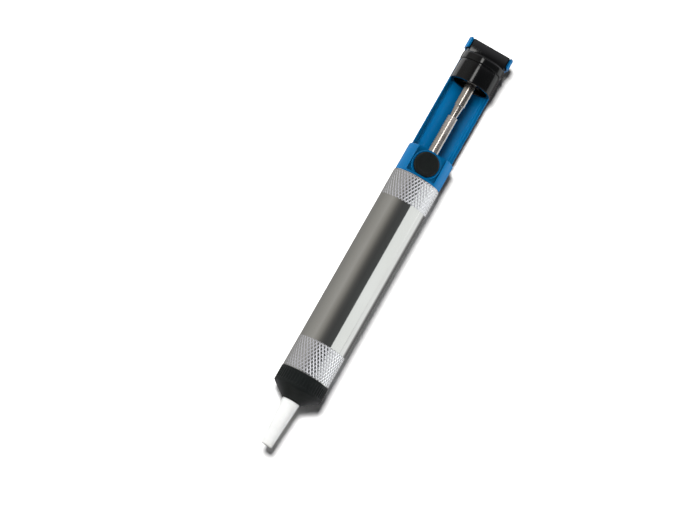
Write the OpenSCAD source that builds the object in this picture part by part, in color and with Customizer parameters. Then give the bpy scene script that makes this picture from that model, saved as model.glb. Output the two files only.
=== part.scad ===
// Desoldering pump: a spring-driven piston in a metal tube, with a push knob
// that runs in an open guard at the back and a latch that a thumb button frees.
// Axis along X, nozzle towards -X, release button towards +Z.
// Origin under the middle of the pump, on the plane that it lies on.

/* [Barrel] */
// Outside diameter of the metal tube
barrel_od = 21; // [20:0.5:22]
// Wall thickness of the metal tube
barrel_wall = 1.2; // [1:0.1:1.4]
// Length of the metal tube
barrel_len = 93.7; // [88:0.1:110]

/* [Nose] */
// Length of nozzle that stands out of the nose cap
nozzle_out = 20.5; // [16:0.5:26]
// Nozzle diameter at its tip
nozzle_tip_od = 4.9; // [4.6:0.1:5.6]
// Nozzle diameter where it enters the cap
nozzle_root_od = 7.6; // [7:0.1:7.8]
// Diameter of the suction hole
nozzle_bore = 3; // [2:0.1:3.2]
// Straight length of the suction hole behind the tip
nozzle_bore_len = 14; // [8:1:15]
// Length of the cap's cone
cap_cone_len = 4.5; // [3:0.5:5.5]
// Length of the cap's ribbed grip
cap_grip_len = 7; // [5:0.5:10]
// How far the grip stands out past the tube, on the radius
cap_proud = 0.2; // [0.1:0.1:0.6]
// Number of grip ribs round the cap
cap_ribs = 48; // [24:4:60]

/* [Plunger] */
// Diameter of the plunger rod
rod_d = 4.6; // [4.4:0.1:5.2]
// Full travel of the plunger, from released to pushed home
travel = 27.5; // [26.5:0.1:28]
// Depth of the latch notch at its square shoulder
notch_depth = 0.7; // [0.6:0.05:0.8]
// Length of the latch notch along the rod
notch_len = 5.6; // [5:0.1:6]
// Diameter of the cleaning pin
pin_d = 1.2; // [0.8:0.1:1.4]

/* [Rear housing] */
// Length of the collar that carries the button
collar_len = 12.3; // [12.3:0.1:14]
// Length of the open guard behind the collar
guard_len = 51.4; // [51:0.1:56]
// Wall thickness of the guard
guard_wall = 0.8; // [0.7:0.1:1]
// Height of the guard's long edges, from the axis
guard_edge_z = -4; // [-4.5:0.1:-3.5]
// Height of the two ears at the guard's end, from the axis
ear_z = 4.4; // [3:0.1:5]
// Length of the two ears
ear_len = 4.7; // [3:0.1:4.8]

/* [Button] */
// Diameter of the release button
button_d = 10.4; // [10:0.1:10.6]
// How far the button travels
button_travel = 1.5; // [1:0.1:1.6]

/* [Knob] */
// Length of the push knob without its tail
knob_len = 12.6; // [12:0.1:14]
// Length of the knob's skirt, in front of the groove
skirt_len = 8.1; // [7.2:0.1:8.4]
// Length of the knob's flat-topped tail
tail_len = 5.8; // [4.8:0.1:6]
// Height of the tail's flat top, from the axis
tail_z = 4.2; // [3:0.1:4.4]
// Number of ribs inside the knob's skirt
knob_ribs = 6; // [4:1:8]

/* [Springs] */
// Wire diameter of the main spring
spring_wire = 1; // [0.8:0.1:1.1]
// Number of turns of the main spring
spring_turns = 11; // [8:1:14]

/* [Hidden] */

R = barrel_od / 2;                       // tube outside
RI = R - barrel_wall;                    // tube inside
cap_r = R + cap_proud;                   // grip of the nose cap
collar_r = R - 0.2;                      // collar and guard outside
guard_ri = collar_r - guard_wall;        // guard inside
rod_r = rod_d / 2;

// Stations along the axis, measured from the nozzle's tip
x_cap = nozzle_out;                      // front of the nose cap
x_cone = x_cap + cap_cone_len;           // cone meets grip
x_tube = x_cone + cap_grip_len;          // front of the tube
x_collar = x_tube + barrel_len;          // rear of the tube
x_guard = x_collar + collar_len;         // rear face of the collar
x_end = x_guard + guard_len;             // end of the guard
x_button = x_collar + collar_len / 2;    // middle of the button
x_spigot = x_collar - 9.5;               // front of the housing's spigot
x_stop = x_spigot - 1.2;                 // front of the guide bush
x_bump = x_stop - 2.5;                   // front of the rubber bumper
x_shoulder = x_bump - 0.1;               // shoulder of the rod
x_wash = x_shoulder - 0.9;               // front of the backing washer
x_piston = x_wash - 9;                   // front of the piston
x_nut = x_piston - 3.2;                  // front of the nut
x_seat = x_tube + 8.5;                   // front of the spring seat
x_plate = x_button - 0.8;                // front face of the latch plate
latched = 25.3;                          // travel at which the latch holds
x_notch = x_plate + latched;             // square shoulder of the notch
x_knob = x_end - tail_len - knob_len;    // front rim of the knob
x_tail = x_end - tail_len - 0.2;         // front of the tail
x_rod_end = x_tail - 2;                  // rear end of the rod
axis_z = cap_r;                          // height of the axis

// Everything is drawn from the nozzle's tip and then moved to the origin
module place() { translate([-x_end / 2, 0, axis_z]) children(); }

// Turned piece: the profile is a list of [station, radius]
module turned(p) {
  rotate([0, 90, 0]) rotate_extrude() polygon([for (q = p) [q[1], q[0]]]);
}
// Plain round bar or hole along the axis
module bar(x0, x1, r) { translate([x0, 0, 0]) rotate([0, 90, 0]) cylinder(h = x1 - x0, r = r); }
// Tube along the axis
module pipe(x0, x1, ro, ri) { difference() { bar(x0, x1, ro); bar(x0 - 1, x1 + 1, ri); } }
// Ring of round section at station x
module o_ring(x, r_mid, r_sec) {
  translate([x, 0, 0]) rotate([0, 90, 0]) rotate_extrude() translate([r_mid, 0]) circle(r = r_sec);
}
// Box given by its two corners
module slab(a, b) { translate(a) cube(b - a); }

// Arc of points about [cx, cy] from angle a0 to a1
function arc(cx, cy, r, a0, a1, n) =
  [for (i = [0:n]) let (a = a0 + (a1 - a0) * i / n) [cx + r * cos(a), cy + r * sin(a)]];

// Closed-end coil along Z: height at turn t, for a spring of n turns
function coil_z(t, n, z0, z1, w) =
  t < 1 ? z0 + w / 2 + t * w * 1.05
  : t > n - 1 ? z1 - w / 2 - (n - t) * w * 1.05
  : z0 + w / 2 + w * 1.05 + (t - 1) / (n - 2) * (z1 - z0 - w - 2.1 * w);
// Wire swept round the coil, closed by its two end faces
module coil(z0, z1, r_mid, w, n, per_turn, sides) {
  rings = n * per_turn;
  pts = [for (i = [0:rings]) let (t = i / per_turn, a = 360 * t, z = coil_z(t, n, z0, z1, w))
    for (k = [0:sides - 1]) let (b = 360 * k / sides, rr = r_mid + w / 2 * cos(b))
      [rr * cos(a), rr * sin(a), z + w / 2 * sin(b)]];
  faces = concat(
    [[for (k = [0:sides - 1]) k]],
    [for (i = [0:rings - 1]) for (k = [0:sides - 1])
      let (a = i * sides + k, b = i * sides + (k + 1) % sides) [a, a + sides, b]],
    [for (i = [0:rings - 1]) for (k = [0:sides - 1])
      let (a = i * sides + k, b = i * sides + (k + 1) % sides) [b, a + sides, b + sides]],
    [[for (k = [sides - 1:-1:0]) rings * sides + k]]);
  polyhedron(points = pts, faces = faces, convexity = 10);
}

// ---- Tube and nose ----

// Polished tube, with a small chamfer at each end
module barrel() {
  color([0.80, 0.80, 0.80]) place() turned([
    [x_tube, RI], [x_tube, R - 0.25], [x_tube + 0.25, R],
    [x_collar - 0.25, R], [x_collar, R - 0.25], [x_collar, RI]]);
}

// Screw-in cap: ring, cone, ribbed grip and the spigot that enters the tube
module nose_cap() {
  seat_r = nozzle_root_od / 2;
  color([0.12, 0.13, 0.13]) place() difference() {
    turned(concat(
      [[x_cap, seat_r], [x_cap, seat_r + 0.55], [x_cap + 0.4, seat_r + 0.9]],
      [[x_cone - 0.6, cap_r - 1.0]],
      arc(x_cone + 0.55, cap_r - 1.4, 1.4, 145, 90, 5),
      [[x_tube - 0.3, cap_r], [x_tube, cap_r - 0.3],
       [x_tube, RI - 0.08], [x_tube + 2.7, RI - 0.08], [x_tube + 2.7, RI - 1.75],
       [x_tube + 4.7, RI - 1.75], [x_tube + 4.7, RI - 0.08],
       [x_seat - 0.4, RI - 0.08], [x_seat, RI - 0.5], [x_seat, 6.3],
       [x_cap + 10.2, 6.3], [x_cap + 10.2, 5.6], [x_cap + 8.5, 5.6], [x_cap + 8.5, seat_r]]));
    for (i = [0:cap_ribs - 1]) rotate([i * 360 / cap_ribs, 0, 0])
      translate([x_cone + 1.6, -0.22, cap_r - 0.28]) cube([cap_grip_len - 2.4, 0.44, 1]);
  }
}

// Heat-resistant nozzle with a retaining flange and the suction hole
module nozzle_tip() {
  rt = nozzle_tip_od / 2;
  rr = nozzle_root_od / 2;
  rb = nozzle_bore / 2;
  color([0.96, 0.96, 0.94]) place() turned([
    [0, rb], [0, rt - 0.25], [0.25, rt],
    [x_cap, rr], [x_cap + 10.2, rr], [x_cap + 10.2, 6.1], [x_cap + 12.6, 6.1],
    [x_cap + 12.6, 2.6], [nozzle_bore_len + 2.5, 2.2], [nozzle_bore_len, rb]]);
}

// Ring that seals the nozzle in the cap
module nozzle_seal() {
  color([0.08, 0.08, 0.08]) place()
    o_ring(x_cap + 9.35, nozzle_root_od / 2 + 0.86, 0.82);
}

// Ring that seals the cap in the tube
module nose_seal() {
  color([0.08, 0.08, 0.08]) place() o_ring(x_tube + 3.7, RI - 0.9, 0.84);
}

// Flanged seat that centres the front of the main spring
module spring_seat() {
  color([0.78, 0.66, 0.36]) place() turned([
    [x_seat, 2.2], [x_seat, RI - 0.3], [x_seat + 2, RI - 0.3], [x_seat + 2, 5.9],
    [x_seat + 5, 5.9], [x_seat + 5.5, 5.4], [x_seat + 5.5, 2.2]]);
}

// ---- Inside the tube ----

// Compression spring between the seat and the piston
module main_spring() {
  color([0.62, 0.63, 0.65]) place() rotate([0, 90, 0])
    coil(x_seat + 2, x_piston, RI - 1.9, spring_wire, spring_turns, 12, 6);
}

// Thin pin that clears solder from the nozzle when the plunger is pushed home
module cleaning_pin() {
  color([0.72, 0.72, 0.74]) place() turned([
    [x_cap + 5.5, 0], [x_cap + 5.5, pin_d / 2 - 0.3], [x_cap + 6.1, pin_d / 2],
    [x_nut + 1, pin_d / 2], [x_nut + 1, 0]]);
}

// Nut that holds the piston on the rod
module piston_nut() {
  color([0.70, 0.70, 0.72]) place() difference() {
    translate([x_nut, 0, 0]) rotate([0, 90, 0]) cylinder(h = x_piston - x_nut, r = 4.04, $fn = 6);
    bar(x_nut - 1, x_piston + 1, rod_r - 0.5);
  }
}

// Piston with a groove for its sealing ring
module piston() {
  color([0.88, 0.87, 0.82]) place() turned([
    [x_piston, rod_r - 0.5], [x_piston, RI - 0.7], [x_piston + 0.5, RI - 0.2],
    [x_piston + 3.3, RI - 0.2], [x_piston + 3.3, RI - 1.8], [x_piston + 5.5, RI - 1.8],
    [x_piston + 5.5, RI - 0.2], [x_wash - 0.5, RI - 0.2], [x_wash, RI - 0.7],
    [x_wash, rod_r - 0.5]]);
}

// Sealing ring of the piston
module piston_seal() {
  color([0.08, 0.08, 0.08]) place() o_ring(x_piston + 4.4, RI - 0.9, 0.87);
}

// Backing washer between the piston and the rod's shoulder
module piston_washer() {
  color([0.70, 0.70, 0.72]) place() pipe(x_wash, x_shoulder, 6, rod_r - 0.5);
}

// Plunger rod: threaded front end, shoulder and latch notch, drilled for the knob's screw
module piston_rod() {
  color([0.72, 0.71, 0.68]) place() turned([
    [x_nut - 0.8, pin_d / 2], [x_nut - 0.8, rod_r - 0.8], [x_nut - 0.5, rod_r - 0.5],
    [x_shoulder, rod_r - 0.5], [x_shoulder, rod_r],
    [x_notch, rod_r], [x_notch, rod_r - notch_depth],
    [x_notch + notch_len - 0.2, rod_r - 0.25], [x_notch + notch_len, rod_r],
    [x_rod_end, rod_r], [x_rod_end, 1.25], [x_rod_end - 6.5, 1.25], [x_rod_end - 6.5, 0],
    [x_nut + 1, 0], [x_nut + 1, pin_d / 2]]);
}

// Rubber bumper that the piston lands on
module bumper_washer() {
  color([0.15, 0.15, 0.15]) place() pipe(x_bump, x_stop, RI - 0.8, rod_r + 0.7);
}

// Flanged bush that guides the rod
module guide_bush() {
  color([0.80, 0.64, 0.32]) place() difference() {
    union() { bar(x_stop, x_spigot, 6.2); bar(x_spigot, x_spigot + 7.8, rod_r + 2); }
    bar(x_stop - 1, x_spigot + 9, rod_r + 0.05);
  }
}

// Felt ring that wipes the rod
module rod_wiper() {
  color([0.55, 0.53, 0.48]) place() pipe(x_spigot + 7.8, x_spigot + 9.8, rod_r + 1.7, rod_r + 0.05);
}

// ---- Rear housing ----

// Part of a tube wall between two heights
module wall_part(x0, x1, ro, ri, z0, z1) {
  intersection() { pipe(x0, x1, ro, ri); slab([x0, -ro - 1, z0], [x1, ro + 1, z1]); }
}

// Spigot, collar with the button's recess, and the open guard with its two ears
module rear_housing() {
  color([0.10, 0.50, 0.74]) place() {
    difference() {
      union() {
        bar(x_spigot, x_collar, RI);
        turned([[x_collar, 0], [x_collar, collar_r - 0.2], [x_collar + 0.2, collar_r],
          [x_guard - 0.4, collar_r], [x_guard, collar_r - 0.4], [x_guard, 0]]);
      }
      // lowered flat round the button
      slab([x_collar + 0.9, -6.5, 7.7], [x_guard + 1, 6.5, R + 3]);
      pocket_cuts();
    }
    // raised ring round the button
    difference() {
      translate([x_button, 0, 7.2]) cylinder(h = 2.1, r = min(button_d / 2 + 0.9, collar_len / 2 - 0.05));
      translate([x_button, 0, 7.1]) cylinder(h = 2.4, r = button_d / 2 + 0.1);
    }
    // open guard, its two guide rails and its two ears
    wall_part(x_guard - 0.5, x_end, collar_r, guard_ri, -collar_r - 1, guard_edge_z);
    for (s = [-1, 1]) rotate([s * 50, 0, 0])
      slab([x_guard - 0.5, -0.5, -guard_ri - 0.1], [x_end, 0.5, -guard_ri + 0.15]);
    wall_part(x_end - ear_len, x_end, collar_r, guard_ri, guard_edge_z - 0.5, ear_z);
  }
}

// Cuts for the bush, the wiper, the rod, the button and the latch plate
module pocket_cuts() {
  bar(x_spigot - 1, x_spigot + 7.8, rod_r + 2);
  bar(x_spigot + 7, x_spigot + 9.8, rod_r + 1.7);
  bar(x_spigot + 9, x_guard + 1, rod_r + 0.3);
  translate([x_button, 0, 4.6]) cylinder(h = 10, r = button_d / 2 + 0.1);
  slab([x_plate - 0.1, -4.1, -7], [x_plate + 1.7, 4.1, 5]);
}

// ---- Latch and button ----

// Steel plate with the slot that drops into the rod's notch
module latch_plate() {
  rh = rod_r + 0.06;
  color([0.60, 0.61, 0.63]) place() translate([x_plate, 0, 0]) difference() {
    union() {
      slab([0, -4, -5.2], [1.6, 4, 4.4]);
      slab([0, -2.5, 4.3], [1.6, 2.5, 8.6]);
    }
    translate([-1, 0, 0]) rotate([0, 90, 0]) cylinder(h = 4, r = rh);
    translate([-1, 0, button_travel]) rotate([0, 90, 0]) cylinder(h = 4, r = rh);
    slab([-1, -rh, 0], [3, rh, button_travel]);
  }
}

// Small spring that lifts the button
module button_spring() {
  color([0.62, 0.63, 0.65]) place() translate([x_button, 0, 0])
    coil(4.6, 7.4, 3.2, 0.45, 3, 12, 6);
}

// Round push button, pressed onto the latch plate
module release_button() {
  r = button_d / 2;
  color([0.08, 0.09, 0.09]) place() difference() {
    translate([x_button, 0, 0]) rotate_extrude() polygon(concat(
      [[0, 7.4], [r - 0.2, 7.4], [r, 7.6]],
      [for (p = arc(r - 0.45, 10.05, 0.45, 0, 80, 5)) p],
      [[0, 10.6]]));
    slab([x_plate, -2.5, 7], [x_plate + 1.6, 2.5, 8.6]);
  }
}

// ---- Knob ----

// Profile of the knob's upper half, and the slimmer one that runs in the guard
module knob_turned(rs, rh) {
  x_step = x_knob + skirt_len;
  turned(concat([[x_knob, 0], [x_knob, rs - 0.2], [x_knob + 0.2, rs], [x_step, rs],
    [x_step + 0.15, rs - 0.45], [x_step + 0.75, rs - 0.45], [x_step + 0.9, rh - 0.15],
    [x_step + 1.2, rh], [x_tail - 0.5, rh], [x_tail, rh - 0.5], [x_tail, 0]]));
}

// Push knob: hollow ribbed skirt, wider head and a flat-topped tail
module knob() {
  low_r = guard_ri - 0.3;
  color([0.10, 0.10, 0.11]) place() difference() {
    union() {
      intersection() {
        knob_turned(collar_r - 0.9, collar_r - 0.6);
        slab([x_knob - 1, -R - 1, guard_edge_z + 0.4], [x_end, R + 1, R + 1]);
      }
      knob_turned(low_r, low_r);
      intersection() {
        bar(x_tail - 0.5, x_end - 0.2, low_r);
        slab([x_tail - 1, -R, -R], [x_end, R, tail_z]);
      }
    }
    // hollow skirt, less its hub and ribs
    difference() {
      bar(x_knob - 1, x_knob + 6.2, low_r - 1.2);
      bar(x_knob + 1.6, x_knob + 7, rod_r + 1.6);
      for (i = [0:knob_ribs - 1]) rotate([i * 360 / knob_ribs + 30, 0, 0])
        slab([x_knob + 2.2, -0.5, rod_r + 1], [x_knob + 7, 0.5, low_r - 0.5]);
    }
    bar(x_knob - 1, x_rod_end, rod_r);
    bar(x_rod_end - 1, x_end, 1.4);
    bar(x_end - 3, x_end, 3.1);
    bar(x_end - 1.4, x_end, 3.7);
  }
}

// Screw that holds the knob on the rod
module knob_screw() {
  color([0.60, 0.61, 0.63]) place() difference() {
    union() { bar(x_rod_end - 6, x_end - 3, 1.25); bar(x_end - 3, x_end - 1.7, 2.9); }
    translate([x_end - 2.4, 0, 0]) rotate([0, 90, 0]) cylinder(h = 2, r = 1.15, $fn = 6);
  }
}

// Plug that hides the screw
module knob_plug() {
  color([0.13, 0.13, 0.14]) place() turned([
    [x_end - 1.4, 0], [x_end - 1.4, 3.65], [x_end - 0.45, 3.65], [x_end - 0.2, 3.4], [x_end - 0.2, 0]]);
}

barrel();
nose_cap();
nozzle_tip();
nozzle_seal();
nose_seal();
spring_seat();
main_spring();
cleaning_pin();
piston_nut();
piston();
piston_seal();
piston_washer();
piston_rod();
bumper_washer();
guide_bush();
rod_wiper();
rear_housing();
latch_plate();
button_spring();
release_button();
knob();
knob_screw();
knob_plug();
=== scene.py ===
import math

import bmesh
import bpy
import numpy as np
from mathutils import Matrix, Vector


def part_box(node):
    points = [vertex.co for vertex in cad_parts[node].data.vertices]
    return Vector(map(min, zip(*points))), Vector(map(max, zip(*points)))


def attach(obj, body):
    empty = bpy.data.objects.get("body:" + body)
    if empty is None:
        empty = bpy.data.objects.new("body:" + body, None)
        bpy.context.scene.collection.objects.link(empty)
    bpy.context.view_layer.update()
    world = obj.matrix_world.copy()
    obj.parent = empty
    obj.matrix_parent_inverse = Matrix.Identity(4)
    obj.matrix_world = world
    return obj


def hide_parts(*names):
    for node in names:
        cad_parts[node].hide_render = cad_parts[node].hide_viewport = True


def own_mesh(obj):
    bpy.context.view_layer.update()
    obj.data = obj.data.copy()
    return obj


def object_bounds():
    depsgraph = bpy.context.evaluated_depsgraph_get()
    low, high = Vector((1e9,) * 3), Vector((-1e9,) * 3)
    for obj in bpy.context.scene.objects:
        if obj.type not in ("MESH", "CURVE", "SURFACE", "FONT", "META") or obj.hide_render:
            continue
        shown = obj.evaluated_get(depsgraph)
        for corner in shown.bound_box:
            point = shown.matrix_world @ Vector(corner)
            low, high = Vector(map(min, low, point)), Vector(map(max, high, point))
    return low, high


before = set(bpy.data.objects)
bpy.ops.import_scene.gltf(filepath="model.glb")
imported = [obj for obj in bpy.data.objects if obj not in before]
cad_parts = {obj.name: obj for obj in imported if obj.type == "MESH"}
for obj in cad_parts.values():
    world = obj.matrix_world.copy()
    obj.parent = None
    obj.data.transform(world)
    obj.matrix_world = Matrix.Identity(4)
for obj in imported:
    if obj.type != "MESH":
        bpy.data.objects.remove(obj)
CAD_LO, CAD_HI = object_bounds()

# ---------------------------------------------------------------- positions
# All shapes are drawn in millimetres from the nozzle's tip with the axis at
# y = z = 0, and P() puts them in the frame. The stations come from the boxes.
MM = 0.001
X0 = CAD_LO.x
B0, B1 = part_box("barrel")
AZ = (B0.z + B1.z) / 2


def P(x, y, z):
    return Vector((X0 + x * MM, y * MM, AZ + z * MM))


def span(node):
    """First and last station of a node along the axis, in mm."""
    a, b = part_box(node)
    return (a.x - X0) / MM, (b.x - X0) / MM


def high(node):
    """Lowest and highest point of a node from the axis, in mm."""
    a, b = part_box(node)
    return (a.z - AZ) / MM, (b.z - AZ) / MM


def wide(node):
    a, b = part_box(node)
    return (b.y - a.y) / 2 / MM


x_tube, x_collar = span("barrel")
R = wide("barrel")
RI = R - 1.2
x_cap, x_seat = span("nose_cap")
cap_r = wide("nose_cap") - 0.01
x_cone = x_cap + 4.5
x_end = span("rear_housing")[1]
x_spigot = span("rear_housing")[0]
collar_r = wide("rear_housing")
x_guard = x_collar + 12.3
guard_ri = collar_r - 0.8
ear_z = 4.4
edge_z = -4.0
ear_len = 4.7
x_button = sum(span("release_button")) / 2
button_r = wide("release_button")
button_lo, button_hi = high("release_button")
x_plate = span("latch_plate")[0]
x_knob, x_knob_end = span("knob")
x_rod0, x_rod_end = span("piston_rod")
rod_r = 2.3
x_piston = span("piston")[0]
x_notch = x_plate + 25.3
low_r = guard_ri - 0.3
x_tail = x_end - 6.0
tail_z = 4.2


# ---------------------------------------------------------------- mesh tools
def fillet(pts, r, k=3):
    """Closed outline with its corners rounded. A point may carry its own radius."""
    out, n = [], len(pts)
    for i, p in enumerate(pts):
        b = np.array(p[:2], float)
        u = np.array(pts[i - 1][:2], float) - b
        v = np.array(pts[(i + 1) % n][:2], float) - b
        rad = p[2] if len(p) > 2 else r
        lu, lv = np.linalg.norm(u), np.linalg.norm(v)
        if rad <= 0 or lu < 1e-9 or lv < 1e-9:
            out.append(tuple(b))
            continue
        u, v = u / lu, v / lv
        ang = math.acos(float(np.clip(u @ v, -1, 1)))
        if ang > math.radians(172):
            out.append(tuple(b))
            continue
        d = min(rad / math.tan(ang / 2), lu * 0.45, lv * 0.45)
        a, c = b + u * d, b + v * d
        for j in range(k + 1):
            t = j / k
            out.append(tuple((1 - t) ** 2 * a + 2 * t * (1 - t) * b + t * t * c))
    return [(float(a), float(b)) for a, b in out]


def lathe(prof, n=96, mod=None, angles=None, axis="x", centre=0.0):
    """Turned mesh from a closed outline of (station, radius)."""
    angles = angles if angles is not None else [2 * math.pi * j / n for j in range(n)]
    n = len(angles)
    verts, rings, faces = [], [], []
    for x, r in prof:
        if r < 1e-6:
            rings.append([len(verts)])
            verts.append((x, 0.0, 0.0))
            continue
        ids = []
        for a in angles:
            rr = mod(x, r, a) if mod else r
            ids.append(len(verts))
            verts.append((x, rr * math.sin(a), rr * math.cos(a)))
        rings.append(ids)
    for i in range(len(rings)):
        p, q = rings[i], rings[(i + 1) % len(rings)]
        if len(p) == 1 and len(q) == 1:
            continue
        for j in range(n):
            k = (j + 1) % n
            if len(p) == 1:
                faces.append((p[0], q[j], q[k]))
            elif len(q) == 1:
                faces.append((p[j], q[0], p[k]))
            else:
                faces.append((p[j], q[j], q[k], p[k]))
    if axis == "z":
        verts = [(centre + y, z, x) for x, y, z in verts]
    return verts, faces


def raw(verts, faces):
    """A mesh in mm with clean outward normals."""
    me = bpy.data.meshes.new("raw")
    me.from_pydata(verts, [], faces)
    bm = bmesh.new()
    bm.from_mesh(me)
    bmesh.ops.remove_doubles(bm, verts=bm.verts, dist=1e-5)
    bmesh.ops.recalc_face_normals(bm, faces=bm.faces)
    bm.to_mesh(me)
    bm.free()
    return me


def slab(a, b, bevel=0.0, seg=2):
    """Box between two corners, with rounded edges."""
    bm = bmesh.new()
    vs = [bm.verts.new((x, y, z)) for x in (a[0], b[0]) for y in (a[1], b[1]) for z in (a[2], b[2])]
    for f in ((0, 1, 3, 2), (4, 6, 7, 5), (0, 4, 5, 1), (2, 3, 7, 6), (0, 2, 6, 4), (1, 5, 7, 3)):
        bm.faces.new([vs[i] for i in f])
    bmesh.ops.recalc_face_normals(bm, faces=bm.faces)
    if bevel:
        bmesh.ops.bevel(bm, geom=list(bm.edges), offset=bevel, segments=seg, profile=0.5, affect="EDGES")
    me = bpy.data.meshes.new("slab")
    bm.to_mesh(me)
    bm.free()
    return me


def boolean(base, tool, op):
    a = bpy.data.objects.new("_a", base)
    b = bpy.data.objects.new("_b", tool)
    for o in (a, b):
        bpy.context.scene.collection.objects.link(o)
    m = a.modifiers.new("b", "BOOLEAN")
    m.operation, m.solver, m.object = op, "EXACT", b
    bpy.context.view_layer.update()
    out = bpy.data.meshes.new_from_object(a.evaluated_get(bpy.context.evaluated_depsgraph_get()))
    for o in (a, b):
        me = o.data
        bpy.data.objects.remove(o)
        bpy.data.meshes.remove(me)
    return out


def cut(base, tool):
    return boolean(base, tool, "DIFFERENCE")


def join(base, tool):
    return boolean(base, tool, "UNION")


def rod(x0, x1, r, n=96):
    return raw(*lathe([(x0, 0), (x0, r), (x1, r), (x1, 0)], n))


def disc(z0, z1, r, n=96, x=None):
    return raw(*lathe([(z0, 0), (z0, r), (z1, r), (z1, 0)], n, axis="z", centre=x_button if x is None else x))


def piece(name, me, mat, body, nodes=(), sharp=30.0):
    """Puts a mesh in mm into the frame as a piece on a body."""
    co = np.empty(len(me.vertices) * 3)
    me.vertices.foreach_get("co", co)
    co = co.reshape(-1, 3) * MM + np.array([X0, 0.0, AZ])
    me.vertices.foreach_set("co", co.ravel())
    me.update()
    me.name = name
    me.materials.clear()
    me.materials.append(mat)
    me.polygons.foreach_set("material_index", [0] * len(me.polygons))
    ob = bpy.data.objects.new(name, me)
    bpy.context.scene.collection.objects.link(ob)
    if sharp is not None:
        me.polygons.foreach_set("use_smooth", [True] * len(me.polygons))
        me.set_sharp_from_angle(angle=math.radians(sharp))
    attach(ob, body)
    if nodes:
        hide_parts(*nodes)
    return ob


# ---------------------------------------------------------------- materials
def srgb(r, g, b):
    f = lambda c: c / 12.92 if c <= 0.04045 else ((c + 0.055) / 1.055) ** 2.4
    return (f(r / 255), f(g / 255), f(b / 255), 1.0)


class Mat:
    """Small helper round a Principled material."""

    def __init__(self, name, metallic=0.0, rough=0.5, **sockets):
        self.m = bpy.data.materials.new(name)
        self.m.use_nodes = True
        self.nt = self.m.node_tree
        self.b = self.nt.nodes["Principled BSDF"]
        self.b.inputs["Metallic"].default_value = metallic
        self.b.inputs["Roughness"].default_value = rough
        for k, v in sockets.items():
            self.b.inputs[k.replace("_", " ")].default_value = v
        self.co = self.nt.nodes.new("ShaderNodeTexCoord").outputs["Object"]
        self.normal = None

    def node(self, kind, **kw):
        n = self.nt.nodes.new("ShaderNode" + kind)
        for k, v in kw.items():
            setattr(n, k, v)
        return n

    def link(self, a, b):
        self.nt.links.new(a, b)

    def mapped(self, scale):
        n = self.node("Mapping")
        n.inputs["Scale"].default_value = scale
        self.link(self.co, n.inputs["Vector"])
        return n.outputs["Vector"]

    def noise(self, scale=1000.0, detail=3.0, rough=0.5, stretch=None, distortion=0.0):
        n = self.node("TexNoise")
        n.inputs["Scale"].default_value = scale
        n.inputs["Detail"].default_value = detail
        n.inputs["Roughness"].default_value = rough
        n.inputs["Distortion"].default_value = distortion
        self.link(self.mapped(stretch) if stretch else self.co, n.inputs["Vector"])
        return n.outputs["Fac"]

    def ramp(self, fac, stops):
        n = self.node("ValToRGB")
        e = n.color_ramp.elements
        while len(e) < len(stops):
            e.new(0.5)
        for el, (pos, col) in zip(e, stops):
            el.position = pos
            el.color = col if len(col) == 4 else (*col, 1.0)
        self.link(fac, n.inputs["Fac"])
        return n.outputs["Color"]

    def remap(self, fac, lo, hi, a=0.0, b=1.0):
        n = self.node("MapRange")
        for k, v in (("From Min", a), ("From Max", b), ("To Min", lo), ("To Max", hi)):
            n.inputs[k].default_value = v
        self.link(fac, n.inputs["Value"])
        return n.outputs["Result"]

    def math(self, op, a, b=None):
        n = self.node("Math", operation=op)
        for i, v in enumerate((a, b)):
            if v is None:
                continue
            if isinstance(v, (int, float)):
                n.inputs[i].default_value = v
            else:
                self.link(v, n.inputs[i])
        return n.outputs["Value"]

    def mix(self, fac, a, b):
        n = self.node("Mix", data_type="RGBA")
        for sock, v in ((n.inputs[0], fac), (n.inputs[6], a), (n.inputs[7], b)):
            if isinstance(v, (int, float, tuple)):
                sock.default_value = v
            else:
                self.link(v, sock)
        return n.outputs[2]

    def attr(self, name):
        return self.node("Attribute", attribute_name=name, attribute_type="GEOMETRY").outputs["Fac"]

    def colour(self, sock):
        self.link(sock, self.b.inputs["Base Color"])

    def rough(self, sock):
        self.link(sock, self.b.inputs["Roughness"])

    def bump(self, height, strength, distance):
        n = self.node("Bump")
        n.inputs["Strength"].default_value = strength
        n.inputs["Distance"].default_value = distance
        self.link(height, n.inputs["Height"])
        if self.normal is not None:
            self.link(self.normal, n.inputs["Normal"])
        self.normal = n.outputs["Normal"]
        self.link(self.normal, self.b.inputs["Normal"])


def make_tube():
    """Polished tube: fine drawing marks along it, faint smudges, dull grooves in the knurl."""
    m = Mat("tube_polished", metallic=1.0, rough=0.08)
    drawn = m.noise(1.0, 4.0, 0.6, stretch=(14.0, 2600.0, 2600.0))
    smudge = m.noise(90.0, 3.0, 0.55, stretch=(0.35, 1.0, 1.0))
    groove = m.attr("groove")
    band = m.attr("band")
    clean = m.ramp(smudge, [(0.3, (0.74, 0.735, 0.715)), (0.7, (0.80, 0.80, 0.785))])
    dull = m.ramp(m.noise(1500.0, 3.0), [(0.35, (0.76, 0.76, 0.78)), (0.7, (0.88, 0.88, 0.90))])
    col = m.mix(groove, m.mix(band, clean, (0.86, 0.86, 0.87, 1.0)), dull)
    m.colour(col)
    base = m.remap(drawn, 0.045, 0.14, 0.3, 0.75)
    base = m.math("ADD", base, m.remap(smudge, 0.0, 0.04, 0.45, 0.8))
    r = m.math("ADD", base, m.math("MULTIPLY", band, 0.04))
    m.rough(m.math("ADD", r, m.math("MULTIPLY", groove, 0.08)))
    m.bump(drawn, 0.05, 0.00002)
    return m.m


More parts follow.
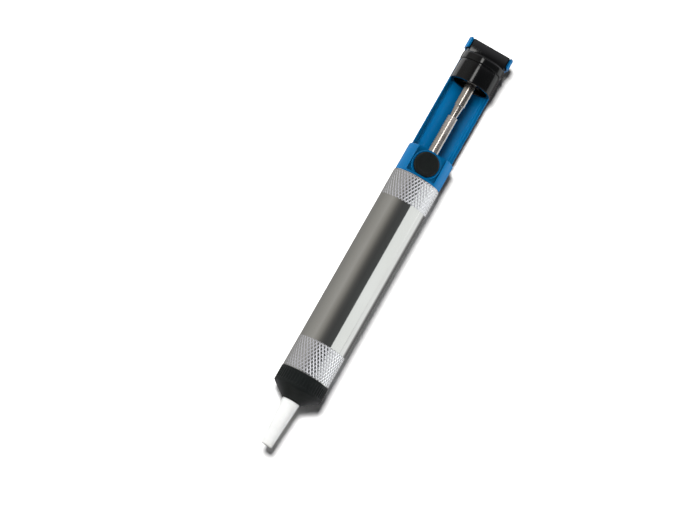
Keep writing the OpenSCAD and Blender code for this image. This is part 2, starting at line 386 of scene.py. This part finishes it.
def make_plastic(name, c_lo, c_hi, rough, spread, grain=2500.0, bump=0.06, mottle=120.0, **kw):
    """Moulded plastic: faint flow mottling, satin grain, slightly uneven gloss and rubbed spots."""
    m = Mat(name, rough=rough, **kw)
    flow = m.noise(mottle, 4.0, 0.55, stretch=(0.5, 1.0, 1.0), distortion=0.4)
    m.colour(m.ramp(flow, [(0.3, c_lo), (0.72, c_hi)]))
    fine = m.noise(grain, 2.0, 0.5)
    wear = m.noise(420.0, 5.0, 0.65)
    r = m.remap(wear, rough - spread, rough + spread, 0.3, 0.75)
    m.rough(r)
    m.bump(fine, bump, 0.00006)
    m.bump(flow, 0.05, 0.0004)
    return m.m


def make_nozzle():
    """Heat-resistant white plastic: soft sheen, faint turning marks, slight tan at the tip."""
    m = Mat("nozzle_white", rough=0.42, Subsurface_Weight=0.12, Subsurface_Scale=0.0012)
    m.b.inputs["Subsurface Radius"].default_value = (1.0, 0.95, 0.9)
    sep = m.node("SeparateXYZ")
    m.link(m.co, sep.inputs["Vector"])
    x = m.remap(sep.outputs["X"], 0.0, 1.0, X0, X0 + 0.0028)
    tint = m.noise(900.0, 4.0, 0.6)
    tip = m.math("MULTIPLY", m.remap(x, 1.0, 0.0), m.remap(tint, 0.25, 1.0, 0.35, 0.65))
    clean = m.ramp(m.noise(260.0, 3.0), [(0.3, srgb(240, 241, 240)), (0.7, srgb(250, 251, 250))])
    m.colour(m.mix(m.math("MULTIPLY", tip, 0.22), clean, srgb(196, 186, 168)))
    m.rough(m.remap(tint, 0.36, 0.5, 0.3, 0.7))
    rings = m.noise(1.0, 2.0, 0.5, stretch=(4200.0, 120.0, 120.0))
    m.bump(rings, 0.10, 0.00003)
    return m.m


def make_turned(name, c_lo, c_hi, r_lo, r_hi, metallic=1.0, strength=0.16, smear=60.0):
    """Turned or drawn metal: fine rings round the axis and slow stains."""
    m = Mat(name, metallic=metallic, rough=r_lo)
    rings = m.noise(1.0, 3.0, 0.6, stretch=(5200.0, 40.0, 40.0))
    stain = m.noise(smear * 5, 4.0, 0.6)
    m.colour(m.ramp(stain, [(0.3, c_lo), (0.7, c_hi)]))
    m.rough(m.math("ADD", m.remap(rings, r_lo, r_hi, 0.3, 0.7), m.remap(stain, -0.03, 0.05, 0.3, 0.7)))
    m.bump(rings, strength, 0.00002)
    return m.m


def make_rubber(name, c_lo, c_hi):
    m = Mat(name, rough=0.6)
    fine = m.noise(3500.0, 3.0)
    m.colour(m.ramp(m.noise(500.0, 4.0), [(0.3, c_lo), (0.7, c_hi)]))
    m.rough(m.remap(fine, 0.5, 0.7))
    m.bump(fine, 0.12, 0.00004)
    return m.m


def make_felt():
    m = Mat("felt", rough=0.95, Sheen_Weight=0.4)
    fibre = m.noise(4200.0, 5.0, 0.7, stretch=(1.0, 0.35, 1.0), distortion=1.5)
    m.colour(m.ramp(fibre, [(0.25, srgb(120, 114, 100)), (0.75, srgb(178, 170, 152))]))
    m.bump(fibre, 0.8, 0.0002)
    return m.m


M_TUBE = make_tube()
M_CAP = make_plastic("cap_black", srgb(18, 21, 21), srgb(28, 32, 31), 0.5, 0.08, grain=2600.0, bump=0.16, mottle=300.0, Specular_IOR_Level=0.3)
M_NOZZLE = make_nozzle()
M_BLUE = make_plastic("housing_blue", srgb(0, 116, 180), srgb(4, 127, 192), 0.24, 0.05, grain=2200.0, bump=0.04, mottle=90.0, Specular_IOR_Level=0.25)
M_KNOB = make_plastic("knob_black", srgb(5, 5, 6), srgb(11, 12, 13), 0.13, 0.03, grain=2400.0, bump=0.04, mottle=140.0)
M_BUTTON = make_plastic("button_black", srgb(6, 10, 9), srgb(14, 19, 17), 0.52, 0.08, grain=3000.0, bump=0.25, mottle=400.0)
M_ROD = make_turned("rod_nickel", (0.70, 0.63, 0.57), (0.79, 0.735, 0.68), 0.20, 0.30)
M_STEEL = make_turned("steel_bright", (0.55, 0.55, 0.57), (0.68, 0.68, 0.70), 0.26, 0.40)
M_SPRING = make_turned("spring_wire", (0.50, 0.51, 0.53), (0.64, 0.65, 0.67), 0.25, 0.38, strength=0.05)
M_BRASS = make_turned("brass", (0.66, 0.46, 0.20), (0.78, 0.58, 0.29), 0.22, 0.36)
M_RUBBER = make_rubber("rubber_black", srgb(24, 24, 25), srgb(36, 36, 37))
M_PISTON = make_plastic("piston_plastic", srgb(214, 208, 192), srgb(232, 228, 214), 0.4, 0.08)
M_FELT = make_felt()

# the hidden pieces keep their CAD shape and take these finishes
for node, mat in {
    "nozzle_seal": M_RUBBER, "nose_seal": M_RUBBER, "spring_seat": M_BRASS, "cleaning_pin": M_STEEL,
    "piston_nut": M_STEEL, "piston": M_PISTON, "piston_seal": M_RUBBER, "piston_washer": M_STEEL,
    "bumper_washer": M_RUBBER, "guide_bush": M_BRASS, "rod_wiper": M_FELT, "latch_plate": M_STEEL,
    "knob_screw": M_STEEL,
}.items():
    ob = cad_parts[node]
    for s in ob.material_slots:
        s.material = mat


# ---------------------------------------------------------------- tube
def build_tube():
    """Tube with two bands of real diamond knurling, each diamond a small blunt pyramid."""
    per, count, pitch, depth = 12, 44, 2.6, 0.12
    n = per * count
    dx = pitch / per
    rows = []  # (x, radius, band row or None, share of the depth)
    a0, a1 = x_tube + 0.3, x_tube + 14.4
    b0, b1 = x_collar - 12.0, x_collar - 0.3
    for i in range(5):
        t = i / 4 * math.pi / 2
        rows.append((x_tube + 0.25 * (1 - math.cos(t)), R - 0.25 + 0.25 * math.sin(t), None, 0))
    for lo, hi in ((a0, a1), (b0, b1)):
        k = int((hi - lo) / dx)
        for i in range(k + 1):
            x = lo + i * dx
            amp = min(1.0, (i + 0.0) * dx / 0.35, (k - i) * dx / 0.35)
            rows.append((x, R, i, amp))
        if lo == a0:
            rows += [(x + 0.02, R, None, 0), (x + 0.05, R, None, 0)]
            for i in range(1, 12):
                rows.append((x + (b0 - x) * i / 12, R, None, 0))
            rows += [(b0 - 0.05, R, None, 0), (b0 - 0.02, R, None, 0)]
    for i in range(5):
        t = (4 - i) / 4 * math.pi / 2
        rows.append((x_collar - 0.25 * (1 - math.cos(t)), R - 0.25 + 0.25 * math.sin(t), None, 0))
    outer = len(rows)
    rows += [(x_collar, RI + 0.1, None, 0), (x_collar - 0.1, RI, None, 0), (x_tube + 0.1, RI, None, 0), (x_tube, RI + 0.1, None, 0)]
    j = np.arange(n)
    ang = 2 * np.pi * j / n
    verts, groove, band = [], [], []
    near = lambda t: np.abs(t - np.round(t))
    for x, r, i, amp in rows:
        if i is None:
            rad, g = np.full(n, r), np.zeros(n)
        else:
            h = np.minimum(near((j + i) / per), near((j - i) / per))
            g = (1 - np.minimum(h, 0.2) / 0.2) * amp
            rad = r + 0.04 * amp - depth * g
        verts.append(np.stack([np.full(n, x), rad * np.sin(ang), rad * np.cos(ang)], 1))
        groove.append(g)
        band.append(np.full(n, amp if i is not None else 0.0))
    verts = np.concatenate(verts)
    faces, flat = [], []
    total = len(rows)
    for q in range(total):
        w = (q + 1) % total
        knurl = rows[q][2] is not None and rows[w][2] is not None and w > q and w < outer and rows[w][2] == rows[q][2] + 1
        for k in range(n):
            k2 = (k + 1) % n
            A, B, C, D = q * n + k, q * n + k2, w * n + k2, w * n + k
            if not knurl:
                faces.append((A, D, C, B))
                flat.append(False)
                continue
            if (k - rows[q][2]) % per == 0:
                faces += [(A, D, C), (A, C, B)]
            else:
                faces += [(A, D, B), (D, C, B)]
            flat += [True, True]
    me = bpy.data.meshes.new("tube")
    me.from_pydata(verts.tolist(), [], faces)
    for name, data in (("groove", groove), ("band", band)):
        me.attributes.new(name, "FLOAT", "POINT").data.foreach_set("value", np.concatenate(data).astype(np.float32))
    bm = bmesh.new()
    bm.from_mesh(me)
    bmesh.ops.recalc_face_normals(bm, faces=bm.faces)
    bm.to_mesh(me)
    bm.free()
    ob = piece("tube", me, M_TUBE, "barrel_body", ["barrel"], sharp=None)
    me.polygons.foreach_set("use_smooth", [not f for f in flat])
    me.update()
    return ob


tube = build_tube()


# ---------------------------------------------------------------- nose
def build_cap():
    seat_r = 3.8
    outline = [
        (x_cap, seat_r, 0.05), (x_cap, seat_r + 0.75, 0.25), (x_cap + 0.45, seat_r + 1.0, 0.2),
        (x_cone - 0.45, cap_r - 0.95, 0.3), (x_cone + 0.35, cap_r - 0.02, 0.7)]
    outline += [(x_cone + 1.2 + i * 0.2, cap_r, 0) for i in range(29)]
    outline += [
        (x_tube - 0.12, cap_r, 0.15), (x_tube, cap_r - 0.3, 0.1), (x_tube, RI - 0.08, 0.1),
        (x_tube + 2.7, RI - 0.08, 0.1), (x_tube + 2.7, RI - 1.75, 0.1),
        (x_tube + 4.7, RI - 1.75, 0.1), (x_tube + 4.7, RI - 0.08, 0.1), (x_seat, RI - 0.08, 0.4),
        (x_seat, 6.3, 0.1), (x_cap + 10.2, 6.3, 0), (x_cap + 10.2, 5.6, 0), (x_cap + 8.5, 5.6, 0), (x_cap + 8.5, seat_r, 0)]
    ribs, per = 48, 10
    x_a, x_b = x_cone + 1.5, x_tube - 1.1

    def mod(x, r, a):
        if r < cap_r - 0.05 or x < x_a or x > x_b:
            return r
        t = (a * ribs / (2 * math.pi)) % 1.0
        d = min(t, 1 - t) / 0.34
        ends = min(1.0, (x - x_a) / 0.5, (x_b - x) / 0.5)
        return r - 0.24 * max(0.0, 1 - d * d) * math.sqrt(max(0.0, ends))

    me = raw(*lathe(fillet(outline, 0.1), ribs * per, mod))
    return piece("nose_cap_ribbed", me, M_CAP, "nose", ["nose_cap"], sharp=40)


cap = build_cap()


def build_nozzle():
    x1 = x_cap + 12.6
    rt, rr, rb = 2.45, 3.8, 1.5
    outline = [(0, rb, 0.12), (0, rt, 0.32), (x_cap, rr, 0), (x_cap + 10.2, rr, 0.1), (x_cap + 10.2, 6.1, 0.1),
               (x1, 6.1, 0.3), (x1, 2.6, 0.2), (16.5, 2.2, 0), (14.0, rb, 0)]
    me = raw(*lathe(fillet(outline, 0.1, 5), 96))
    return piece("nozzle", me, M_NOZZLE, "nose", ["nozzle_tip"], sharp=50)


nozzle = build_nozzle()


# ---------------------------------------------------------------- rear housing
def build_guard():
    """Flat pattern of the guard and its ears, rounded at its edges and then bent to the tube's shape."""
    ro = collar_r
    s0 = ro * math.acos(-edge_z / ro)
    s1 = ro * (math.pi - math.acos(ear_z / ro))
    xa, xe, xb = x_guard - 0.5, x_end, x_end - ear_len
    half = [(xa, s0, 0), (xb, s0, 0.9), (xb, s1, 0.9), (xe, s1, 0.9)]
    outline = [(x, -s, r) for x, s, r in half] + [(x, s, r) for x, s, r in reversed(half)]
    pts = fillet(outline, 0.0, 6)
    thick = ro - guard_ri
    bm = bmesh.new()
    f = bm.faces.new([bm.verts.new((x, s, 0)) for x, s in pts])
    up = bmesh.ops.extrude_face_region(bm, geom=[f])
    bmesh.ops.translate(bm, verts=[v for v in up["geom"] if isinstance(v, bmesh.types.BMVert)], vec=(0, 0, thick))
    bmesh.ops.recalc_face_normals(bm, faces=bm.faces)
    rim = [e for e in bm.edges if abs(e.verts[0].co.z - e.verts[1].co.z) < 1e-6]
    bmesh.ops.bevel(bm, geom=rim, offset=0.2, segments=3, profile=0.5, affect="EDGES")
    rail = ro * math.radians(50)
    cuts = [i * 0.5 - 21 for i in range(85)]
    steps = (-0.62, -0.56, -0.45, -0.3, -0.15, 0.0, 0.15, 0.3, 0.45, 0.56, 0.62)
    cuts += [sgn * rail + d for sgn in (-1, 1) for d in steps]
    for c in sorted(cuts):
        if abs(c) < s1 - 0.01:
            bmesh.ops.bisect_plane(bm, geom=bm.verts[:] + bm.edges[:] + bm.faces[:], plane_co=(0, c, 0), plane_no=(0, 1, 0), dist=1e-5)
    for v in bm.verts:
        x, s, h = v.co
        if h > thick - 1e-4:
            d = min(abs(s - rail), abs(s + rail))
            if d < 0.62:
                h += 0.24 * math.sqrt(max(0.0, 1 - (d / 0.62) ** 2))
        r = ro - h
        a = s / ro
        v.co = (x, r * math.sin(a), -r * math.cos(a))
    bmesh.ops.recalc_face_normals(bm, faces=bm.faces)
    me = bpy.data.meshes.new("guard")
    bm.to_mesh(me)
    bm.free()
    return me


def build_housing():
    outline = [
        (x_spigot, 4.5, 0.05), (x_spigot, RI - 0.02, 0.3), (x_collar, RI - 0.02, 0), (x_collar, collar_r, 0.25),
        (x_guard, collar_r, 0.45), (x_guard, rod_r + 0.3, 0.15), (x_spigot + 9.8, rod_r + 0.3, 0),
        (x_spigot + 9.8, rod_r + 1.7, 0), (x_spigot + 7.8, rod_r + 1.7, 0), (x_spigot + 7.8, 4.5, 0)]
    me = raw(*lathe(fillet(outline, 0.1, 4), 144))
    me = join(me, build_guard())
    me = cut(me, slab((x_collar + 0.9, -6.5, 7.7), (x_guard + 4, 6.5, 14), 0.3, 3))
    rr = min(button_r + 0.9, 6.1)
    ring = fillet([(7.2, button_r + 0.1, 0), (9.3, button_r + 0.1, 0.2), (9.3, rr, 0.3), (7.2, rr, 0)], 0.2, 4)
    me = join(me, raw(*lathe(ring, 96, axis="z", centre=x_button)))
    me = cut(me, disc(4.6, 12.0, button_r + 0.1))
    me = cut(me, slab((x_plate - 0.1, -4.1, -7.0), (x_plate + 1.7, 4.1, 5.0)))
    return piece("rear_housing_moulded", me, M_BLUE, "barrel_body", ["rear_housing"], sharp=35)


housing = build_housing()


# ---------------------------------------------------------------- button and its spring
def build_button():
    r = button_r
    top = button_hi
    outline = [(button_lo, 0, 0), (button_lo, r, 0.2), (top - 0.4, r, 0.25), (top, r - 0.45, 0.25), (top, r - 1.3, 0.2), (top - 0.12, r - 1.9, 0.3), (top - 0.16, 0, 0)]
    me = raw(*lathe(fillet(outline, 0.2, 5), 96, axis="z", centre=x_button))
    me = cut(me, slab((x_plate, -2.5, 7.0), (x_plate + 1.6, 2.5, 8.6)))
    return piece("button_cap", me, M_BUTTON, "button", ["release_button"], sharp=40)


button = build_button()


def coil(z0, z1, r_mid, w, turns, per=32, sides=12):
    """Closed-end coil along Z with its two ends tapered and closed."""
    def height(t):
        if t < 1:
            return z0 + w / 2 + t * w * 1.05
        if t > turns - 1:
            return z1 - w / 2 - (turns - t) * w * 1.05
        return z0 + w / 2 + w * 1.05 + (t - 1) / (turns - 2) * (z1 - z0 - w - 2.1 * w)
    verts, faces = [], []
    rings = turns * per
    for i in range(rings + 1):
        t = i / per
        a = 2 * math.pi * t
        thin = min(1.0, 0.7 + 0.3 * min(i, rings - i) / 4)
        for k in range(sides):
            b = 2 * math.pi * k / sides
            rr = r_mid + w / 2 * thin * math.cos(b)
            verts.append((rr * math.cos(a), rr * math.sin(a), height(t) + w / 2 * thin * math.sin(b)))
    for i in range(rings):
        for k in range(sides):
            a, b = i * sides + k, i * sides + (k + 1) % sides
            faces.append((a, a + sides, b + sides, b))
    faces.append(tuple(range(sides)))
    faces.append(tuple(rings * sides + k for k in reversed(range(sides))))
    return verts, faces


def build_springs():
    a, b = span("main_spring")
    v, f = coil(a, b, RI - 1.9, 1.0, 11)
    main = piece("main_spring_coil", raw([(z, y, -x) for x, y, z in v], f), M_SPRING, "barrel_body", ["main_spring"], sharp=50)
    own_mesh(main)
    a, b = high("button_spring")
    v, f = coil(a, b, 3.2, 0.45, 3)
    small = piece("button_spring_coil", raw([(x + x_button, y, z) for x, y, z in v], f), M_SPRING, "barrel_body", ["button_spring"], sharp=50)
    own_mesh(small)
    return main, small


springs = build_springs()


# ---------------------------------------------------------------- plunger
def build_rod():
    x_sh = span("piston_washer")[1]
    outline = [
        (x_rod0, 0.6, 0), (x_rod0, rod_r - 0.85, 0), (x_rod0 + 0.3, rod_r - 0.5, 0),
        (x_sh, rod_r - 0.5, 0), (x_sh, rod_r, 0.1),
        (x_notch, rod_r, 0.06), (x_notch, rod_r - 0.7, 0.08),
        (x_notch + 5.3, rod_r - 0.28, 0.05), (x_notch + 5.5, rod_r, 0.06),
        (x_rod_end, rod_r, 0.2), (x_rod_end, 1.25, 0), (x_rod_end - 6.5, 1.25, 0), (x_rod_end - 6.5, 0, 0),
        (x_rod0 + 1.8, 0, 0), (x_rod0 + 1.8, 0.6, 0)]
    me = raw(*lathe(fillet(outline, 0.05), 96))
    return piece("rod_notched", me, M_ROD, "plunger", ["piston_rod"], sharp=25)


plunger_rod = build_rod()


def build_knob():
    rs, rh = collar_r - 0.9, collar_r - 0.6
    xs = x_knob + 8.1
    outline = [
        (x_knob, 7.9, 0.2), (x_knob, rs, 0.35), (xs, rs, 0.12), (xs + 0.15, rs - 0.45, 0.1), (xs + 0.75, rs - 0.45, 0.1),
        (xs + 0.95, rh, 0.35), (x_tail, rh, 0.8), (x_tail, 0, 0), (x_rod_end, 0, 0), (x_rod_end, rod_r, 0),
        (x_knob + 1.6, rod_r, 0.15), (x_knob + 1.6, 4.1, 0.25), (x_knob + 6.2, 4.1, 0.3), (x_knob + 6.2, 7.9, 0.3)]
    a_t = math.acos((edge_z + 0.4) / 9.55)
    step = math.radians(0.5)
    up = [-(a_t - step) + 2 * (a_t - step) * i / 92 for i in range(93)]
    lo = [a_t + step + (2 * math.pi - 2 * (a_t + step)) * i / 56 for i in range(57)]

    def mod(x, r, a):
        a = (a + math.pi) % (2 * math.pi) - math.pi
        if abs(a) < a_t or r < 8.2:
            return r
        if xs - 0.2 < x < xs + 1.4:
            return low_r
        return min(r, low_r)

    me = raw(*lathe(fillet(outline, 0.1, 4), angles=up + lo, mod=mod))
    # tail: round below, flat on top, its rear edge rounded
    edge = []
    y0 = math.sqrt(low_r ** 2 - tail_z ** 2)
    a0 = math.atan2(y0, tail_z)
    for i in range(97):
        a = a0 + (2 * math.pi - 2 * a0) * i / 96
        edge.append((low_r * math.sin(a), low_r * math.cos(a)))
    bm = bmesh.new()
    f = bm.faces.new([bm.verts.new((x_tail - 0.5, y, z)) for y, z in edge])
    up2 = bmesh.ops.extrude_face_region(bm, geom=[f])
    bmesh.ops.translate(bm, verts=[v for v in up2["geom"] if isinstance(v, bmesh.types.BMVert)], vec=(x_end - 0.2 - x_tail + 0.5, 0, 0))
    bmesh.ops.recalc_face_normals(bm, faces=bm.faces)
    rear = [e for e in bm.edges if all(v.co.x > x_end - 0.3 for v in e.verts)]
    rear += [e for e in bm.edges if abs(e.verts[0].co.x - e.verts[1].co.x) > 1 and all(abs(v.co.z - tail_z) < 1e-4 for v in e.verts)]
    bmesh.ops.bevel(bm, geom=rear, offset=0.28, segments=3, profile=0.5, affect="EDGES")
    tail = bpy.data.meshes.new("tail")
    bm.to_mesh(tail)
    bm.free()
    me = join(me, tail)
    for i in range(6):
        a = math.radians(i * 60 + 30)
        rib = slab((x_knob + 2.2, -0.5, 3.9), (x_knob + 6.6, 0.5, 8.15))
        rib.transform(Matrix.Rotation(-a, 4, "X"))
        me = join(me, rib)
    me = cut(me, rod(x_rod_end - 1.0, x_end + 1, 1.4, 48))
    me = cut(me, rod(x_end - 3.0, x_end + 1, 3.1, 64))
    me = cut(me, rod(x_end - 1.4, x_end + 1, 3.7, 64))
    return piece("knob_moulded", me, M_KNOB, "plunger", ["knob"], sharp=32)


knob = build_knob()


def build_plug():
    x = x_end
    outline = [(x - 1.4, 0, 0), (x - 1.4, 3.65, 0.15), (x - 0.2, 3.65, 0.3), (x - 0.2, 2.6, 0.2), (x - 0.42, 2.3, 0.2), (x - 0.42, 0, 0)]
    me = raw(*lathe(fillet(outline, 0.1, 4), 72))
    return piece("plug_dished", me, M_BUTTON, "plunger", ["knob_plug"], sharp=35)


plug = build_plug()


# ---------------------------------------------------------------- floor
def build_floor():
    me = bpy.data.meshes.new("floor")
    s = 4.0
    me.from_pydata([(-s, -s, 0), (s, -s, 0), (s, s, 0), (-s, s, 0)], [], [(0, 1, 2, 3)])
    ob = bpy.data.objects.new("floor", me)
    ob.location.z = CAD_LO.z - 0.00002
    bpy.context.scene.collection.objects.link(ob)
    m = Mat("floor_white", rough=0.9)
    m.colour(m.ramp(m.noise(30.0, 2.0), [(0.3, (0.90, 0.90, 0.90)), (0.7, (0.92, 0.92, 0.92))]))
    m.b.inputs["Specular IOR Level"].default_value = 0.1
    me.materials.append(m.m)
    return ob


floor = build_floor()
floor.visible_glossy = False


# ---------------------------------------------------------------- light
def area(name, loc, target, sx, sy, radiance, colour=(1, 1, 1), only=None, **vis):
    """Soft box of a given radiance that faces the target, its long side along the pump."""
    d = bpy.data.lights.new(name, "AREA")
    d.shape, d.size, d.size_y = "RECTANGLE", sx, sy
    d.energy = radiance * math.pi * sx * sy
    d.color = colour
    ob = bpy.data.objects.new(name, d)
    bpy.context.scene.collection.objects.link(ob)
    z = (Vector(loc) - Vector(target)).normalized()
    x = (Vector((1, 0, 0)) - z * z.x).normalized()
    y = z.cross(x)
    m = Matrix((x, y, z)).transposed().to_4x4()
    m.translation = Vector(loc)
    ob.matrix_world = m
    ob.visible_camera = False
    for k, v in vis.items():
        setattr(ob, "visible_" + k, v)
    if only:
        c = bpy.data.collections.new(name + "_on")
        for o in only:
            c.objects.link(o)
        ob.light_linking.receiver_collection = c
    return ob


def build_world():
    w = bpy.data.worlds.new("studio")
    bpy.context.scene.world = w
    w.use_nodes = True
    nt = w.node_tree
    nt.nodes.clear()
    co = nt.nodes.new("ShaderNodeTexCoord")
    sep = nt.nodes.new("ShaderNodeSeparateXYZ")
    nt.links.new(co.outputs["Generated"], sep.inputs["Vector"])
    neg = nt.nodes.new("ShaderNodeMath")
    neg.operation = "MULTIPLY"
    neg.inputs[1].default_value = -1.0
    nt.links.new(sep.outputs["Y"], neg.inputs[0])
    at = nt.nodes.new("ShaderNodeMath")
    at.operation = "ARCTAN2"
    nt.links.new(neg.outputs[0], at.inputs[0])
    nt.links.new(sep.outputs["Z"], at.inputs[1])
    mr = nt.nodes.new("ShaderNodeMapRange")
    for k, v in (("From Min", -math.pi), ("From Max", math.pi), ("To Min", 0.0), ("To Max", 1.0)):
        mr.inputs[k].default_value = v
    nt.links.new(at.outputs[0], mr.inputs["Value"])
    ramp = nt.nodes.new("ShaderNodeValToRGB")
    nt.links.new(mr.outputs["Result"], ramp.inputs["Fac"])
    deg = lambda a: (a + 180.0) / 360.0
    stops = [
        (deg(-179), (0.24, 0.24, 0.23)), (deg(-150), (0.25, 0.245, 0.235)), (deg(-120), (0.28, 0.275, 0.26)),
        (deg(-90), (0.33, 0.325, 0.305)), (deg(-60), (0.385, 0.378, 0.358)), (deg(-42), (0.28, 0.272, 0.252)),
        (deg(-22), (0.125, 0.122, 0.115)), (deg(-12), (0.082, 0.082, 0.08)), (deg(0), (0.062, 0.064, 0.064)),
        (deg(25), (0.07, 0.074, 0.074)), (deg(89), (0.10, 0.10, 0.10)), (deg(91), (0.92, 0.94, 0.94)),
        (deg(118), (0.92, 0.94, 0.94)), (deg(130), (0.30, 0.30, 0.30)), (deg(146), (0.12, 0.12, 0.12)),
        (deg(168), (0.14, 0.14, 0.14)), (deg(179), (0.24, 0.24, 0.23))]
    e = ramp.color_ramp.elements
    while len(e) < len(stops):
        e.new(0.5)
    for el, (p, c) in zip(e, stops):
        el.position = p
        el.color = (*c, 1)
    ends = nt.nodes.new("ShaderNodeValToRGB")
    e = ends.color_ramp.elements
    bright, none = (0.88, 0.88, 0.92, 1), (0, 0, 0, 1)
    e[0].position, e[0].color = 0.0, none
    e[1].position, e[1].color = 1.0, none
    for p, c in ((0.22, none), (0.27, bright), (0.33, bright), (0.41, none), (0.65, none), (0.75, bright), (0.82, bright), (0.88, none)):
        e.new(p).color = c
    half = nt.nodes.new("ShaderNodeMapRange")
    half.inputs["From Min"].default_value = -1.0
    nt.links.new(sep.outputs["X"], half.inputs["Value"])
    nt.links.new(half.outputs["Result"], ends.inputs["Fac"])
    add = nt.nodes.new("ShaderNodeMix")
    add.data_type, add.blend_type = "RGBA", "LIGHTEN"
    add.inputs[0].default_value = 1.0
    nt.links.new(ramp.outputs["Color"], add.inputs[6])
    nt.links.new(ends.outputs["Color"], add.inputs[7])
    lp = nt.nodes.new("ShaderNodeLightPath")
    mix = nt.nodes.new("ShaderNodeMix")
    mix.data_type = "RGBA"
    mix.inputs[7].default_value = (0.96, 0.965, 0.97, 1)
    nt.links.new(lp.outputs["Is Camera Ray"], mix.inputs[0])
    nt.links.new(add.outputs[2], mix.inputs[6])
    # diffuse surfaces get less of the surroundings than polished ones show
    dim = nt.nodes.new("ShaderNodeMapRange")
    dim.inputs["To Min"].default_value = 1.0
    dim.inputs["To Max"].default_value = 0.14
    nt.links.new(lp.outputs["Is Diffuse Ray"], dim.inputs["Value"])
    bg = nt.nodes.new("ShaderNodeBackground")
    nt.links.new(mix.outputs[2], bg.inputs["Color"])
    nt.links.new(dim.outputs["Result"], bg.inputs["Strength"])
    out = nt.nodes.new("ShaderNodeOutputWorld")
    nt.links.new(bg.outputs[0], out.inputs["Surface"])


build_world()
mid = P(95, 0, 0)
pieces = [o for o in bpy.context.scene.objects if o.type == "MESH" and o is not floor and o is not housing]
over = mid + Vector((0.21, 0.345, 1.42))
# soft key from behind the knob and a little to the left; its floor half makes the shadow
area("key", over, mid, 0.26, 0.26, 84.0, (1.0, 0.995, 0.985), only=pieces, glossy=False)
area("key_floor", over, mid, 0.38, 0.38, 84.0, (1.0, 0.997, 0.99), only=[floor], glossy=False)
for side in (1, -1):
    area("nose_%d" % (side + 1), P(0, side * 520, 520), P(10, 0, 0), 0.80, 0.80, 0.50, only=[nozzle], glossy=False)
# the housing gets less from above and more from two low side lights
area("key_housing", over, mid, 0.26, 0.26, 17.0, (1.0, 0.995, 0.985), only=[housing], glossy=False)
housing.visible_diffuse = False
for side, level, height in ((1, 9.5, 175), (-1, 11.0, 380)):
    area("side_%d" % (side + 1), P(165, side * 760, height), P(155, 0, 0), 0.60, 0.20, level, only=[housing], glossy=False)
# broad weak fill on the pump alone
area("fill", P(60, 200, 1500), mid, 1.6, 1.6, 0.22, only=pieces, glossy=False)
# bright card along the right side of the tube
area("card", P(112, -153, 90), P(79, 0, 0), 0.112, 0.190, 0.87, (0.97, 1.0, 0.99), diffuse=False, only=[tube])
# small soft box over the rear end
area("strip", P(222, 70, 300), P(175, 0, 0), 0.12, 0.055, 5.2, (1.0, 0.99, 0.97), diffuse=False, only=[knob, plunger_rod, plug])
# pale surroundings low on the left of the knob
area("low_left", P(207, 165, -112), P(175, 0, 0), 0.20, 0.15, 1.0, (1.0, 1.0, 1.0), diffuse=False, only=[knob])


# ---------------------------------------------------------------- camera
def build_camera():
    """Long lens above the pump, a little to its nose side."""
    v = Vector((-0.132092727, -0.0881354308, 0.00972247373))
    rot = Matrix.Rotation(v.length, 3, v.normalized())
    base = Matrix(((0.48842, -0.87261, 0.0), (-0.87261, -0.48842, 0.0), (0.0, 0.0, -1.0)))
    rr = rot @ base
    t = Vector((-28.7417513, 78.0670615, 1475.88571))
    pos = -(rr.transposed() @ t)
    m = Matrix((rr[0], -rr[1], -rr[2])).transposed().to_4x4()
    m.translation = P(*pos)
    d = bpy.data.cameras.new("camera")
    d.sensor_fit, d.sensor_width = "HORIZONTAL", 36.0
    d.lens = 3630.0 / 674.0 * 36.0
    d.clip_start, d.clip_end = 0.05, 50.0
    ob = bpy.data.objects.new("camera", d)
    bpy.context.scene.collection.objects.link(ob)
    ob.matrix_world = m
    bpy.context.scene.camera = ob


build_camera()
bpy.context.scene.view_settings.view_transform = "Standard"
bpy.context.scene.view_settings.look = "None"
